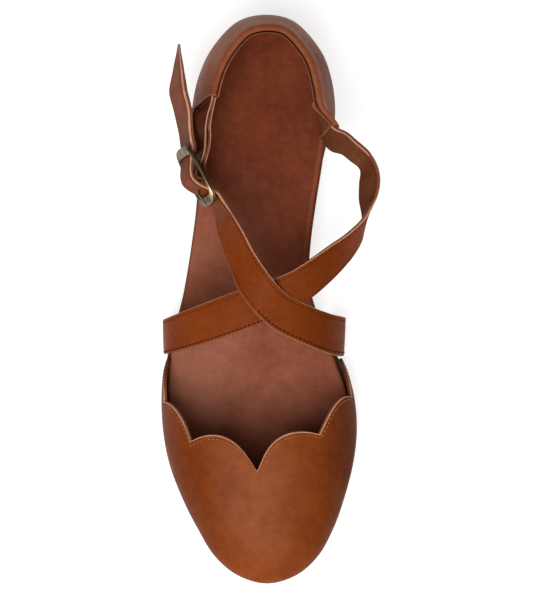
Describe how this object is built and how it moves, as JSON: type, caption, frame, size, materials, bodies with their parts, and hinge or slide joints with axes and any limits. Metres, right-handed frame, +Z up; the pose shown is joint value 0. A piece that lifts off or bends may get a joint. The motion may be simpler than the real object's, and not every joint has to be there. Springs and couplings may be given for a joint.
{
  "type": "leather sandal",
  "caption": "Flat brown leather sandal for a right foot with closed scalloped toe, closed heel and crossed straps that run through the heel counter to a brass buckle on the outer side.",
  "frame": {"origin": "on the floor under the centre of the shoe's box", "axes": "+Z up from the floor, -Y from heel to toe, +X to the inner side of the foot"},
  "size_m": [0.1008, 0.262, 0.057],
  "materials": {
    "sole_rubber": "dark brown, matt",
    "insole_leather": "dark reddish brown, matt and mottled",
    "upper_leather": "tan brown, smooth and semi-matt",
    "counter_leather": "tan brown, smooth and semi-matt",
    "strap_leather": "tan brown, smooth with pale cut edges",
    "buckle_brass": "antique, dull",
    "prong_brass": "antique, dull"
  },
  "bodies": {
    "root": {"outsole": "sole_rubber", "insole": "insole_leather", "vamp": "upper_leather", "heel_counter": "counter_leather", "cross_straps": "strap_leather", "buckle_frame": "buckle_brass", "buckle_prong": "prong_brass"}
  },
  "joints": []
}
